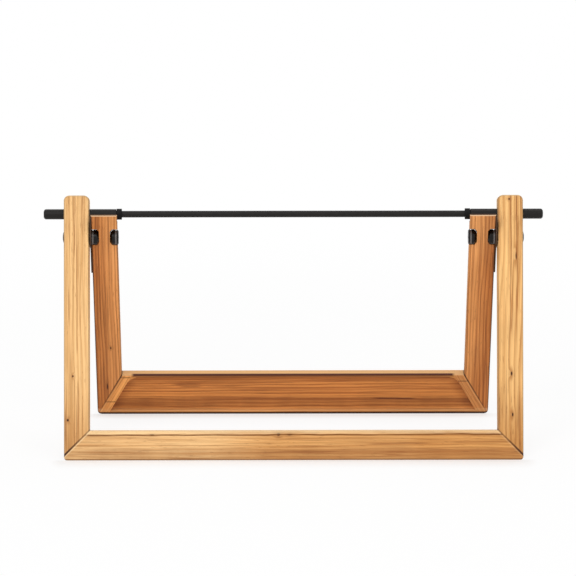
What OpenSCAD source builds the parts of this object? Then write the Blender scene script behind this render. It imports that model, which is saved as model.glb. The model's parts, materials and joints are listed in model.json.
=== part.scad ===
// Folding A-frame yarn ball holder: a flat front frame, a narrower rear frame nested inside it,
// two pivot bolts between them and a turning rod across the top. Millimetres, Z up, front towards -Y.

/* [Frames] */

// Outer width of the front frame
frame_w = 360; // [300:1:440]
// Lean of each frame from upright when the stand is open
lean = 18; // [15:0.5:21]
// Length along either frame from the pivot down to the table
leg_length = 172.5; // [155:0.5:195]
// Angle left between the two frames when the stand is folded
folded_angle = 8; // [7:0.5:9]
// Side gap between a front post and the rear leg beside it
frame_gap = 1.5; // [1.4:0.1:4]
// Rounding of the front foot's outer corners
front_foot_r = 2.25; // [1:0.25:3.5]
// Rounding of the rear foot's outer corners
rear_foot_r = 3.5; // [1:0.25:4.5]

/* [Front frame] */

// Width of a front post seen from the front
post_w = 20; // [17:0.5:20.5]
// Thickness of the front frame
front_t = 14; // [12.5:0.5:16]
// Height of the front rail
front_rail_h = 21; // [20.5:0.5:30]
// Length of post above the rod
post_over_rod = 14.5; // [10:0.5:20]
// Radius of the post's top corners seen from the front
post_top_r = 4.5; // [3:0.5:6]
// Radius of the front frame's long edges
front_edge_r = 2; // [1:0.25:3]

/* [Rear frame] */

// Width of a rear leg seen from the front
leg_w = 20.5; // [19:0.5:24]
// Thickness of the rear frame
rear_t = 7.5; // [7:0.25:10]
// Height of the rear rail
rear_rail_h = 40; // [30:1:46]
// Radius of the rear frame's long edges
rear_edge_r = 1; // [0.75:0.25:1.25]
// Height of the cover lip at the leg's top, above the rod's level on the leg
lip_over_rod = 5; // [3:0.5:7]
// Depth of the sunk panel on the rear rail
panel_depth = 1.2; // [0.6:0.1:2]
// Border above the sunk panel
panel_top = 1.8; // [1.5:0.1:6]
// Border below the sunk panel
panel_bottom = 3; // [2:0.5:6]
// Border between the sunk panel and each mitre
panel_end = 8; // [5:0.5:16]
// Cut of the sunk panel's upper corners
panel_corner = 5; // [1:0.5:6]

/* [Corner joints] */

// Thickness of the hidden splines
spline_t = 3; // [2:0.5:4]
// Depth of a spline in each of its two members
spline_depth = 5; // [3:0.5:6]

/* [Rod] */

// Distance from the pivot up to the rod, along the post
rod_rise = 18.2; // [17.8:0.1:20]
// Diameter of the sleeves at the rod's ends
sleeve_d = 8; // [7:0.1:8.4]
// Diameter of the spindle between them
spindle_d = 5.2; // [4.5:0.1:5.8]
// Length of rod beyond each post
rod_overhang = 16; // [12:0.5:24]
// Radius of the rod's outer ends
rod_end_r = 2; // [1:0.25:3]
// Diameter of a stop collar
collar_d = 8.6; // [8.4:0.1:11]
// Width of a stop collar
collar_w = 4; // [3:0.5:7]
// Wall of the bush in each post
rod_bush_wall = 0.9; // [0.7:0.1:1.1]

/* [Pivot hardware] */

// Diameter of the pivot bolt
bolt_d = 5; // [4:0.1:5.5]
// Diameter of the bolt's head
head_d = 10.5; // [7.5:0.1:11]
// Height of the head's rim, sunk in the post
head_sunk = 2; // [1.5:0.1:3]
// Height of the head's dome outside the post
head_dome = 1.1; // [0.8:0.1:1.5]
// Width across flats of the key sockets in the head and in the nut
key_af = 3; // [2:0.5:3.5]
// Depth of these key sockets
key_depth = 1.8; // [1:0.1:2]
// Diameter of the pivot bush and of the barrel nut
hub_d = 12; // [11.5:0.1:12.5]
// Depth of the bush and of the nut in the leg
hub_depth = 6; // [5:0.1:6.5]
// Length of the nut outside the leg
nut_proud = 0.8; // [0.5:0.1:2]
// Width of the ring groove around the bush and the nut
groove_w = 0.8; // [0.5:0.1:1.2]
// Depth of this groove
groove_depth = 0.4; // [0.2:0.05:0.6]

/* [Stop plates] */

// Thickness of a stop plate
plate_t = 1; // [0.8:0.1:1.1]
// Metal left around the slot
plate_rim = 1.5; // [1.2:0.1:3]
// Extra radius of the slot's round ends, where the rod comes to rest
slot_seat = 0.2; // [0.15:0.05:0.3]
// Length of the plate's tail below the pivot
tail_length = 30; // [28:0.5:40]
// Width of the plate's tail
tail_w = 6.5; // [6:0.1:7]
// Diameter of the plate screws
screw_d = 2.5; // [2:0.1:2.8]
// Length of the plate screws
screw_length = 12; // [9:0.5:15]

/* [Fits] */

// Radial clearance of a turning or sliding fit
run_fit = 0.1; // [0.05:0.01:0.1]
// Gap between pieces that pass each other
pass_gap = 0.3; // [0.2:0.05:0.35]
// Clearance of the rod in the stop plate's slot
slot_fit = 0.4; // [0.3:0.05:0.6]

/* [Hidden] */

$fn = 96;

// Overlap that carries a cut past a face
over = 1;
// Reach of the big cutting blocks
reach = 500;
// Sides of a hexagon
hex_sides = 6;
// Sides of the round that the feet are cut with
foot_sides = 12;

// Levels and stations of the front frame, measured from the pivot
open_angle = 2 * lean;
pivot_z = leg_length * cos(lean);
pivot_y = (front_t - rear_t) / (4 * cos(lean));
post_outer_x = frame_w / 2;
post_inner_x = post_outer_x - post_w;
post_mid_x = (post_outer_x + post_inner_x) / 2;
post_top = rod_rise + post_over_rod;
front_rail_top = -leg_length + front_rail_h;
front_drop = front_t / 2 * tan(lean) + front_edge_r + over;
front_mitre = 45;
spline_share = 0.75;  // spline length as a share of the member's width

// Levels and stations of the rear frame, measured from the pivot
leg_outer_x = post_inner_x - frame_gap;
leg_inner_x = leg_outer_x - leg_w;
leg_mid_x = (leg_outer_x + leg_inner_x) / 2;
rear_rail_top = -leg_length + rear_rail_h;
rear_drop = rear_t / 2 * tan(lean) + rear_edge_r + over;
rear_mitre = atan(leg_w / rear_rail_h);
rear_front_foot = -leg_length + rear_t / 2 * tan(lean);

// The lip stays in front of the folded rod, and the leg below it stays under the rod's path
sleeve_r = sleeve_d / 2;
rod_pass = 0.4;  // room between the folded rod and the lip
rod_max_r = max(sleeve_r, collar_d / 2);
lip_back = rod_rise * sin(folded_angle) - rod_max_r - rod_pass;
lip_top = rod_rise + lip_over_rod;
crown_r = rod_rise - rod_max_r - pass_gap;

// Rod and collars
sleeve_short = 1;  // where a sleeve ends, short of the leg's inner edge
sleeve_cap = 2;  // solid metal between the spindle's end and the rounding
rod_half = post_outer_x + rod_overhang;
sleeve_inner_x = leg_inner_x + sleeve_short;
spindle_half = rod_half - rod_end_r - sleeve_cap;
collar_outer_x = sleeve_inner_x - pass_gap;
rod_bush_r = sleeve_r + run_fit + rod_bush_wall;

// Pivot hardware
hub_r = hub_d / 2;
bush_seat_x = leg_outer_x - hub_depth;
bush_outer_x = post_inner_x - pass_gap;
bush_chamfer = 0.5;
nut_seat_x = leg_inner_x + hub_depth;
nut_outer_x = nut_seat_x - pass_gap;
nut_inner_x = leg_inner_x - nut_proud;
nut_chamfer = 0.8;
nut_wall = 0.8;  // metal between the bolt's end and the key socket
bolt_inner_x = nut_inner_x + key_depth + nut_wall;

// Seats in the leg for the bush and the nut, open towards the front and upwards
seat_r = hub_r + run_fit;
seat_slope = 35;  // slope of a seat's open passage
seat_lift = 0.1;  // extra room under the passage's upper side
hub_chamfer = 1.8;  // chamfer of the bush, the nut and their seats at the closed end
groove_inset = 1.2;  // place of the ring groove, from the leg's edge

// Stop plate
slot_half = sleeve_r + slot_fit;
slot_seat_r = slot_half + slot_seat;
quadrant_rim = slot_seat_r + plate_rim;
horn_rise = 2;  // height of the two stop horns above the rod's middle
quadrant_outer_r = rod_rise + horn_rise;
plate_hub_rim = 2.5;  // metal around the pivot bush
plate_hub_r = hub_r + plate_hub_rim;
screw_head_ratio = 1.9;  // screw head to shank
screw_places = [0.48, 0.86];  // share of the tail's length
screw_r = screw_d / 2;
screw_head_r = screw_r * screw_head_ratio;
screw_head_h = screw_head_r - screw_r;

// Colours
light_wood = [0.90, 0.71, 0.46];
dark_wood = [0.66, 0.41, 0.22];
spline_wood = [0.78, 0.57, 0.34];
black_metal = [0.08, 0.08, 0.09];
brown_metal = [0.22, 0.14, 0.09];
black_plastic = [0.13, 0.13, 0.14];
pale_nylon = [0.82, 0.80, 0.74];
dark_rubber = [0.10, 0.10, 0.10];

// Placing: each frame is drawn upright around its pivot and leaned into place
module in_front_frame() {
    translate([0, pivot_y, pivot_z]) rotate([-lean, 0, 0]) children();
}

module in_rear_frame() {
    translate([0, pivot_y, pivot_z]) rotate([lean, 0, 0]) children();
}

module on_left() {
    mirror([1, 0, 0]) children();
}

// What the table and the rounded corners of its foot take off a frame of half width outer_x
module under_foot(outer_x, corner_r) {
    translate([-reach, -reach, -reach]) cube([2 * reach, 2 * reach, reach]);
    for (sx = [-1, 1]) difference() {
        translate([sx * outer_x, 0, 0]) cube([2 * corner_r, reach, 2 * corner_r], center = true);
        translate([sx * (outer_x - corner_r), 0, corner_r]) rotate([90, 0, 0])
            cylinder(r = corner_r, h = reach + over, center = true, $fn = foot_sides);
    }
}

// Drawing helpers
module rounded_rect(w, h, r) {
    square([w - 2 * r, h], center = true);
    square([w, h - 2 * r], center = true);
    for (sx = [-1, 1], sy = [-1, 1])
        translate([sx * (w / 2 - r), sy * (h / 2 - r)]) circle(r);
}

// A bar with rounded long edges that stands on end
module upright_bar(w, t, r, z_low, z_high) {
    translate([0, 0, z_low]) linear_extrude(z_high - z_low) rounded_rect(w, t, r);
}

// A bar with rounded long edges that runs across
module cross_bar(length, t, r, z_low, z_high) {
    translate([-length / 2, 0, (z_low + z_high) / 2]) rotate([90, 0, 90])
        linear_extrude(length) rounded_rect(t, z_high - z_low, r);
}

// A shape drawn in the front view, cut through a frame's thickness
module front_view(t) {
    rotate([90, 0, 0]) linear_extrude(2 * t, center = true) children();
}

// A shape drawn in the side view, given a thickness from x_low to x_high
module side_view(x_low, x_high) {
    translate([x_low, 0, 0]) rotate([90, 0, 90]) linear_extrude(x_high - x_low) children();
}

module round_bar(r, x_low, x_high) {
    translate([x_low, 0, 0]) rotate([0, 90, 0]) cylinder(r = r, h = x_high - x_low);
}

module round_taper(r_low, r_high, x_low, x_high) {
    translate([x_low, 0, 0]) rotate([0, 90, 0]) cylinder(r1 = r_low, r2 = r_high, h = x_high - x_low);
}

// A round bar with its two ends chamfered
module chamfered_bar(r, x_low, x_high, chamfer_low, chamfer_high) {
    round_taper(r - chamfer_low, r, x_low, x_low + chamfer_low);
    round_bar(r, x_low + chamfer_low, x_high - chamfer_high);
    round_taper(r, r - chamfer_high, x_high - chamfer_high, x_high);
}

// A domed bar of radius r: a straight rim from x - rim to x, then a dome of height h that points along +X
module domed_bar(r, rim, h, x) {
    ball_r = (r * r + h * h) / (2 * h);
    translate([x, 0, 0]) rotate([0, 90, 0]) rotate_extrude() intersection() {
        translate([0, h - ball_r]) circle(ball_r);
        translate([0, -rim]) square([r, rim + h + over]);
    }
}

module hex_bar(af, x_low, x_high) {
    corner_r = af / 2 / cos(180 / hex_sides);
    side_view(x_low, x_high)
        polygon([for (i = [0 : hex_sides - 1]) corner_r * [cos(i * 360 / hex_sides), sin(i * 360 / hex_sides)]]);
}

// Point of the side view at a radius from the pivot and an angle from the leg's line
function polar(r, a) = [r * sin(a), r * cos(a)];

// Front frame
module front_spline_block() {
    translate([post_mid_x, 0, front_rail_top - post_w / 2]) rotate([0, front_mitre, 0])
        cube([post_w * spline_share, spline_t, 2 * spline_depth], center = true);
}

// Outline of a post: square mitre below, rounded corners above
module post_outline() {
    side = post_w + over;
    polygon([[post_inner_x - over, front_rail_top + over], [post_inner_x + side, front_rail_top - side],
        [post_inner_x + side, post_top - post_top_r], [post_inner_x - over, post_top - post_top_r]]);
    translate([post_mid_x, post_top - post_w / 2]) rounded_rect(post_w, post_w, post_top_r);
}

module rod_line() {
    translate([0, 0, rod_rise]) children();
}

module front_right_post_solid() {
    difference() {
        in_front_frame() difference() {
            intersection() {
                translate([post_mid_x, 0, 0])
                    upright_bar(post_w, front_t, front_edge_r, -leg_length - front_drop, post_top + over);
                front_view(front_t) post_outline();
            }
            rod_line() round_bar(rod_bush_r, post_inner_x - over, post_outer_x + over);
            round_bar(bolt_d / 2, post_inner_x - over, post_outer_x + over);
            round_bar(head_d / 2, post_outer_x - head_sunk, post_outer_x + over);
            front_spline_block();
        }
        under_foot(post_outer_x, front_foot_r);
    }
}

// Outline of the front rail, mitred at both ends above a strip that runs the full width
module front_rail_outline() {
    side = post_w + over;
    low = -leg_length - front_drop - over;
    polygon([[-post_inner_x + over, front_rail_top + over], [post_inner_x - over, front_rail_top + over],
        [post_inner_x + side, front_rail_top - side], [post_inner_x + side, low],
        [-post_inner_x - side, low], [-post_inner_x - side, front_rail_top - side]]);
}

module front_rail() {
    color(light_wood) difference() {
        in_front_frame() difference() {
            intersection() {
                cross_bar(frame_w + 2 * over, front_t, front_edge_r, -leg_length - front_drop, front_rail_top);
                upright_bar(frame_w, front_t, front_edge_r, -leg_length - front_drop - over, 0);
                front_view(front_t) front_rail_outline();
            }
            front_spline_block();
            on_left() front_spline_block();
        }
        under_foot(post_outer_x, front_foot_r);
    }
}

module front_right_post() {
    color(light_wood) front_right_post_solid();
}

module front_left_post() {
    color(light_wood) on_left() front_right_post_solid();
}

module front_right_spline() {
    color(spline_wood) in_front_frame() front_spline_block();
}

module front_left_spline() {
    color(spline_wood) on_left() in_front_frame() front_spline_block();
}

// Rear frame
module rear_spline_block() {
    translate([leg_mid_x, 0, rear_rail_top - rear_rail_h / 2]) rotate([0, -rear_mitre, 0])
        cube([2 * spline_depth, spline_t, leg_w * spline_share], center = true);
}

// Outline of a leg: the mitre from the inner corner to the foot's outer corner
module leg_outline() {
    rise = over * rear_rail_h / leg_w;
    high = lip_top + over;
    polygon([[leg_inner_x - over, rear_rail_top + rise], [leg_outer_x + over, -leg_length - rise],
        [leg_outer_x + over, high], [leg_inner_x - over, high]]);
}

// Room for the rod behind the cover lip as the frames fold
module rod_path() {
    difference() {
        translate([leg_inner_x - over, lip_back, 0])
            cube([leg_w + 2 * over, rear_t + over, lip_top + 2 * over]);
        round_bar(crown_r, leg_inner_x - 2 * over, leg_outer_x + 2 * over);
    }
}

module plate_screws_solid() {
    plate_face = leg_outer_x + plate_t;
    for (place = screw_places) translate([0, 0, -place * tail_length]) {
        round_bar(screw_r, plate_face - screw_length, plate_face - screw_head_h);
        round_taper(screw_r, screw_head_r, plate_face - screw_head_h, plate_face);
    }
}

// Seat in the leg for round hardware, with a chamfered closed end and a passage that slopes up to the front
module hub_seat(x_open, x_closed) {
    depth = abs(x_closed - x_open);
    straight = depth - hub_chamfer;
    high = seat_r + seat_lift;
    translate([x_open, 0, 0]) mirror([x_closed < x_open ? 1 : 0, 0, 0]) {
        round_bar(seat_r, 0, straight);
        round_taper(seat_r, seat_r - hub_chamfer, straight, depth);
        rotate([90 - seat_slope, 0, 0]) linear_extrude(2 * rear_t)
            polygon([[0, 0], [depth, 0], [depth, high - hub_chamfer], [straight, high], [0, high]]);
    }
}

module rear_right_leg_solid() {
    difference() {
        in_rear_frame() difference() {
            intersection() {
                translate([leg_mid_x, 0, 0])
                    upright_bar(leg_w, rear_t, rear_edge_r, -leg_length - rear_drop, lip_top);
                front_view(rear_t) leg_outline();
            }
            rod_path();
            round_bar(bolt_d / 2 + run_fit, leg_inner_x - over, leg_outer_x + over);
            hub_seat(leg_outer_x + over, bush_seat_x);
            hub_seat(leg_inner_x - over, nut_seat_x);
            plate_screws_solid();
            rear_spline_block();
        }
        under_foot(leg_outer_x, rear_foot_r);
    }
}

module rear_right_leg() {
    color(dark_wood) rear_right_leg_solid();
}

module rear_left_leg() {
    color(dark_wood) on_left() rear_right_leg_solid();
}

// Outline of the rear rail, mitred from its inner corners to the foot's outer corners
module rear_rail_outline() {
    rise = over * rear_rail_h / leg_w;
    low = -leg_length - rear_drop - over;
    polygon([[-leg_inner_x + over, rear_rail_top + rise], [leg_inner_x - over, rear_rail_top + rise],
        [leg_outer_x, -leg_length], [leg_outer_x, low], [-leg_outer_x, low], [-leg_outer_x, -leg_length]]);
}

// Half width of the sunk panel at a level, a steady border away from the mitre
function panel_half(level) = leg_inner_x + (rear_rail_top - level) * tan(rear_mitre) - panel_end;

module sunk_panel() {
    top = rear_rail_top - panel_top;
    shoulder = top - panel_corner;
    bottom = rear_front_foot + panel_bottom;
    top_half = panel_half(top) - panel_corner;
    translate([0, -rear_t / 2 - over / 2 + panel_depth / 2, 0]) rotate([90, 0, 0])
        linear_extrude(panel_depth + over, center = true)
            polygon([[-top_half, top], [top_half, top], [panel_half(shoulder), shoulder],
                [panel_half(bottom), bottom], [-panel_half(bottom), bottom], [-panel_half(shoulder), shoulder]]);
}

module rear_rail() {
    color(dark_wood) difference() {
        in_rear_frame() difference() {
            intersection() {
                cross_bar(2 * leg_outer_x + 2 * over, rear_t, rear_edge_r, -leg_length - rear_drop, rear_rail_top);
                front_view(rear_t) rear_rail_outline();
            }
            sunk_panel();
            rear_spline_block();
            on_left() rear_spline_block();
        }
        under_foot(leg_outer_x, rear_foot_r);
    }
}

module rear_right_spline() {
    color(spline_wood) in_rear_frame() rear_spline_block();
}

module rear_left_spline() {
    color(spline_wood) on_left() in_rear_frame() rear_spline_block();
}

// Pivot hardware
module ring_groove(x) {
    difference() {
        round_bar(hub_r + over, x - groove_w / 2, x + groove_w / 2);
        round_bar(hub_r - groove_depth, x - groove_w, x + groove_w);
    }
}

module right_pivot_bolt_solid() {
    in_front_frame() difference() {
        union() {
            round_bar(bolt_d / 2, bolt_inner_x, post_outer_x - head_sunk / 2);
            domed_bar(head_d / 2, head_sunk, head_dome, post_outer_x);
        }
        hex_bar(key_af, post_outer_x + head_dome - key_depth, post_outer_x + head_dome + over);
    }
}

module right_pivot_bolt() {
    color(black_metal) right_pivot_bolt_solid();
}

module left_pivot_bolt() {
    color(black_metal) on_left() right_pivot_bolt_solid();
}

module right_pivot_bush_solid() {
    in_rear_frame() difference() {
        chamfered_bar(hub_r, bush_seat_x, bush_outer_x, hub_chamfer, bush_chamfer);
        round_bar(bolt_d / 2 + run_fit, bush_seat_x - over, bush_outer_x + over);
        ring_groove(leg_outer_x - groove_inset);
    }
}

module right_pivot_bush() {
    color(black_plastic) right_pivot_bush_solid();
}

module left_pivot_bush() {
    color(black_plastic) on_left() right_pivot_bush_solid();
}

module right_pivot_nut_solid() {
    in_front_frame() difference() {
        chamfered_bar(hub_r, nut_inner_x, nut_outer_x, nut_chamfer, hub_chamfer);
        round_bar(bolt_d / 2, bolt_inner_x, nut_outer_x + over);
        hex_bar(key_af, nut_inner_x - over, nut_inner_x + key_depth);
        ring_groove(leg_inner_x + groove_inset);
    }
}

module right_pivot_nut() {
    color(black_metal) right_pivot_nut_solid();
}

module left_pivot_nut() {
    color(black_metal) on_left() right_pivot_nut_solid();
}

// Stop plate: a quadrant with two horns that stop the rod, folded and open, on a tail fixed to the leg
module ring_sector(r_low, r_high) {
    far = 2 * r_high;
    intersection() {
        difference() {
            circle(r_high);
            circle(r_low);
        }
        polygon([[0, 0], polar(far, folded_angle), polar(far, open_angle)]);
    }
}

// A broad arm from the pivot past one end of the slot
module quadrant_arm(angle) {
    rotate(-angle) translate([-quadrant_rim, 0]) square([2 * quadrant_rim, rod_rise + quadrant_rim]);
}

// One end of the slot, where the rod comes to rest, open outwards
module slot_end(angle) {
    rotate(-angle) translate([0, rod_rise]) {
        circle(slot_seat_r);
        translate([-slot_half, 0]) square([2 * slot_half, quadrant_rim]);
    }
}

module stop_plate_outline() {
    difference() {
        union() {
            circle(plate_hub_r);
            intersection() {
                union() {
                    ring_sector(hub_r / 2, rod_rise);
                    quadrant_arm(folded_angle);
                    quadrant_arm(open_angle);
                }
                circle(quadrant_outer_r);
            }
            translate([-tail_w / 2, -tail_length]) square([tail_w, tail_length]);
            translate([0, -tail_length]) circle(tail_w / 2);
        }
        circle(hub_r);
        ring_sector(rod_rise - slot_half, rod_rise + quadrant_rim);
        slot_end(folded_angle);
        slot_end(open_angle);
    }
}

module right_stop_plate_solid() {
    in_rear_frame() difference() {
        side_view(leg_outer_x, leg_outer_x + plate_t) stop_plate_outline();
        plate_screws_solid();
    }
}

module right_stop_plate() {
    color(brown_metal) right_stop_plate_solid();
}

module left_stop_plate() {
    color(brown_metal) on_left() right_stop_plate_solid();
}

module right_plate_screws() {
    color(black_metal) in_rear_frame() plate_screws_solid();
}

module left_plate_screws() {
    color(black_metal) on_left() in_rear_frame() plate_screws_solid();
}

// Rod, its bushes and its collars
module right_rod_bush_solid() {
    in_front_frame() rod_line() difference() {
        round_bar(rod_bush_r, post_inner_x, post_outer_x);
        round_bar(sleeve_r + run_fit, post_inner_x - over, post_outer_x + over);
    }
}

module right_rod_bush() {
    color(pale_nylon) right_rod_bush_solid();
}

module left_rod_bush() {
    color(pale_nylon) on_left() right_rod_bush_solid();
}

module spindle() {
    color(black_metal) in_front_frame() rod_line() round_bar(spindle_d / 2, -spindle_half, spindle_half);
}

module rod_sleeve_profile() {
    straight = rod_half - rod_end_r;
    translate([0, sleeve_inner_x]) square([sleeve_r, straight - sleeve_inner_x]);
    translate([0, straight - over]) square([sleeve_r - rod_end_r, rod_end_r + over]);
    intersection() {
        translate([sleeve_r - rod_end_r, straight]) circle(rod_end_r);
        translate([sleeve_r - rod_end_r - over, straight - over]) square([rod_end_r + over, rod_end_r + over]);
    }
}

module right_rod_sleeve_solid() {
    in_front_frame() rod_line() difference() {
        rotate([0, 90, 0]) rotate_extrude() rod_sleeve_profile();
        round_bar(spindle_d / 2, sleeve_inner_x - over, spindle_half);
    }
}

module right_rod_sleeve() {
    color(black_metal) right_rod_sleeve_solid();
}

module left_rod_sleeve() {
    color(black_metal) on_left() right_rod_sleeve_solid();
}

module right_stop_collar_solid() {
    in_front_frame() rod_line() difference() {
        round_bar(collar_d / 2, collar_outer_x - collar_w, collar_outer_x);
        round_bar(spindle_d / 2 + run_fit, collar_outer_x - collar_w - over, collar_outer_x + over);
    }
}

module right_stop_collar() {
    color(dark_rubber) right_stop_collar_solid();
}

module left_stop_collar() {
    color(dark_rubber) on_left() right_stop_collar_solid();
}

front_left_post();
front_right_post();
front_rail();
front_left_spline();
front_right_spline();
rear_left_leg();
rear_right_leg();
rear_rail();
rear_left_spline();
rear_right_spline();
left_pivot_bolt();
right_pivot_bolt();
left_pivot_bush();
right_pivot_bush();
left_pivot_nut();
right_pivot_nut();
left_stop_plate();
right_stop_plate();
left_plate_screws();
right_plate_screws();
left_rod_bush();
right_rod_bush();
spindle();
left_rod_sleeve();
right_rod_sleeve();
left_stop_collar();
right_stop_collar();
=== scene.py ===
"""Looks of the folding yarn ball holder: wood, metal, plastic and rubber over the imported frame."""

import json
import math
from collections import namedtuple
from typing import NamedTuple

import bpy
from mathutils import Matrix, Vector

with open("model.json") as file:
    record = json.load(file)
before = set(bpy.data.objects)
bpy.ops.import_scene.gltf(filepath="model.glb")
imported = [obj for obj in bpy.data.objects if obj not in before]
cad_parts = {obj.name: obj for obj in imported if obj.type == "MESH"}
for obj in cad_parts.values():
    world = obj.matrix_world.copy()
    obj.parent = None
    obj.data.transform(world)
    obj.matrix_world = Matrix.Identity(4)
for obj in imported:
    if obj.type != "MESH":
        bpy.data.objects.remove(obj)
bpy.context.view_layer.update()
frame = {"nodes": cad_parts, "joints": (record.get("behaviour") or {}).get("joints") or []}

MM = 0.001

# Places read from the frame
JOINTS = {joint["name"]: joint for joint in frame["joints"]}
PIVOT = Vector(JOINTS["rear_fold"]["pos_m"])
ROD = Vector(JOINTS["rod_spin"]["pos_m"])
LEAN = math.atan2(ROD.y - PIVOT.y, ROD.z - PIVOT.z)
FRONT_TILT = -LEAN
REAR_TILT = LEAN
LEG_LENGTH = PIVOT.z / math.cos(LEAN) / MM


def box_in_frame(node, tilt):
    """Lowest and highest corner of a node in its own leaning frame, in millimetres from the pivot."""
    turn = Matrix.Rotation(-tilt, 3, "X")
    points = [turn @ (vertex.co - PIVOT) / MM for vertex in frame["nodes"][node].data.vertices]
    low = Vector(min(p[i] for p in points) for i in range(3))
    high = Vector(max(p[i] for p in points) for i in range(3))
    return low, high


def srgb(red, green, blue):
    """A colour given in 0 to 255 as the linear colour that a shader takes, by the standard sRGB curve."""
    def linear(value):
        share = value / 255
        return share / 12.92 if share <= 0.04045 else ((share + 0.055) / 1.055) ** 2.4
    return (linear(red), linear(green), linear(blue), 1.0)


class Graph:
    """A material's node tree, with a short call for each kind of node."""

    def __init__(self, name):
        self.material = bpy.data.materials.new(name)
        self.material.use_nodes = True
        self.tree = self.material.node_tree
        self.tree.nodes.clear()

    def node(self, kind, inputs, **settings):
        made = self.tree.nodes.new(kind)
        for key, value in settings.items():
            setattr(made, key, value)
        for key, value in inputs.items():
            if isinstance(value, bpy.types.NodeSocket):
                self.tree.links.new(value, made.inputs[key])
            else:
                made.inputs[key].default_value = value
        return made

    def math(self, operation, a, b=0.0):
        return self.node("ShaderNodeMath", {0: a, 1: b}, operation=operation).outputs[0]

    def product(self, *values):
        result = values[0]
        for value in values[1:]:
            result = self.math("MULTIPLY", result, value)
        return result

    def vector(self, operation, a, b):
        return self.node("ShaderNodeVectorMath", {0: a, 1: b}, operation=operation).outputs[0]

    def scaled(self, vector, factor):
        return self.node("ShaderNodeVectorMath", {0: vector, "Scale": factor}, operation="SCALE").outputs[0]

    def dot(self, a, b):
        return self.node("ShaderNodeVectorMath", {0: a, 1: b}, operation="DOT_PRODUCT").outputs["Value"]

    def length(self, vector):
        return self.node("ShaderNodeVectorMath", {0: vector}, operation="LENGTH").outputs["Value"]

    def join(self, x, y, z):
        return self.node("ShaderNodeCombineXYZ", {0: x, 1: y, 2: z}).outputs[0]

    def split(self, vector):
        return self.node("ShaderNodeSeparateXYZ", {0: vector}).outputs[:3]

    def own(self, name):
        """The piece's own Object or Normal coordinates."""
        return self.node("ShaderNodeTexCoord", {}).outputs[name]

    def smooth(self, value, low, high, start=0.0, end=1.0):
        """A soft step from start, where the value is low, to end, where it is high."""
        inputs = {0: value, 1: low, 2: high, 3: start, 4: end}
        return self.node("ShaderNodeMapRange", inputs, interpolation_type="SMOOTHSTEP").outputs[0]

    def span(self, value, low, high):
        """A value from 0 to 1 spread over low to high."""
        return self.node("ShaderNodeMapRange", {0: value, 3: low, 4: high}).outputs[0]

    def near(self, value, place, half, soft):
        """1 within half of a place, 0 beyond half plus soft."""
        away = self.math("ABSOLUTE", self.math("SUBTRACT", value, place))
        return self.smooth(away, half + soft, half)

    def noise(self, vector, detail, roughness=0.5):
        inputs = {"Vector": vector, "Scale": 1.0, "Detail": detail, "Roughness": roughness}
        return self.node("ShaderNodeTexNoise", inputs)

    def chance(self, value):
        """A steady random number from 0 to 1 for each whole value."""
        return self.node("ShaderNodeTexWhiteNoise", {"W": value}, noise_dimensions="1D").outputs["Value"]

    def mix(self, factor, a, b, blend="MIX"):
        """Colour a turned into b by a factor. The Mix node's colours are inputs 6 and 7, and output 2."""
        made = self.node("ShaderNodeMix", {0: factor, 6: a, 7: b}, data_type="RGBA", blend_type=blend)
        return made.outputs[2]

    def tinted(self, tone, factor, tint):
        return self.mix(factor, tone, tint, blend="MULTIPLY")

    def shaded(self, tone, value, shades):
        """A tone made darker or lighter by a value from 0 to 1, spread over two shades."""
        level = self.span(value, *shades)
        grey = self.node("ShaderNodeCombineColor", {0: level, 1: level, 2: level}).outputs[0]
        return self.tinted(tone, 1.0, grey)

    def covered(self, tone, mask, share, cover):
        """A tone under a cover, where a mask shows it, with a share of it at most."""
        return self.mix(self.math("MULTIPLY", mask, share), tone, cover)

    def bump(self, height, distance):
        inputs = {"Height": height, "Distance": distance, "Strength": 1.0}
        return self.node("ShaderNodeBump", inputs).outputs[0]

    def finish(self, **inputs):
        """Ends the tree in a Principled shader. Underscores in the names stand for spaces."""
        sockets = {key.replace("_", " "): value for key, value in inputs.items()}
        shader = self.node("ShaderNodeBsdfPrincipled", sockets)
        self.node("ShaderNodeOutputMaterial", {0: shader.outputs[0]})
        return self.material


# Wood: tones of early wood, late wood, streaks, knots, end grain, and the painted highlight on upper faces
# and beside mitres and feet
Tones = namedtuple("Tones", "early late streak knot end bare")
# A board: its frame's tilt, its middle and half sizes there in millimetres, and whether its grain is upright
Board = namedtuple("Board", "tilt middle half upright")
# A growth pattern: the log's middle beside the board, ring spacing, wander and contrast, and a seed
Growth = namedtuple("Growth", "pith spacing wander depth seed")
# A change of share between two places along the grain, in millimetres from the board's lower or left end
Ramp = namedtuple("Ramp", "low high start end")
# A darker tint across and along a board, which is painted shade on the rear legs' outer sides beside the
# front
# posts: its shares at the board's two edges, its ramps along the grain, and its tint
DARKENING_TINT = (0.64, 0.51, 0.38, 1.0)
Fade = namedtuple("Fade", "across along tint", defaults=((0.0, 0.0), (), DARKENING_TINT))
# Painted shade along the rounded long edges: tone, width and depth, corner radius at the top, and shares on
# the low and high side, which are the inner and outer side of an upright piece and the bottom and top of a
# rail
Edges = namedtuple("Edges", "tone width depth corner low high")
# Painted shade along the foot: tone, height above the table, share, and share of the painted highlight line
# over it
Foot = namedtuple("Foot", "tone height share pale")
# A knot: its place and half sizes in the frame's own plane, in millimetres from the pivot
Knot = namedtuple("Knot", "x z half_x half_z")
# A mitre on the right, mirrored on the left: its inner corner, normal and length in the frame's own plane
Mitre = namedtuple("Mitre", "x z normal_x normal_z length")
# Lines along a mitre: shares of the dark one at the inner and outer corner, its widening, and shares of
# the pale painted highlight beside it on the left and on the right
Seam = namedtuple("Seam", "inner outer widen pale_left pale_right")
# A stripe along the grain: place across the board, half width, soft edge, tone, share, and two ends. Place
# and ends are in millimetres from the board's middle, and a stripe without ends runs the whole length
PAST_LOW_END, PAST_HIGH_END = -1000, 1000
Stripe = namedtuple("Stripe", "place half soft tone share start end", defaults=(PAST_LOW_END, PAST_HIGH_END))
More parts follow.
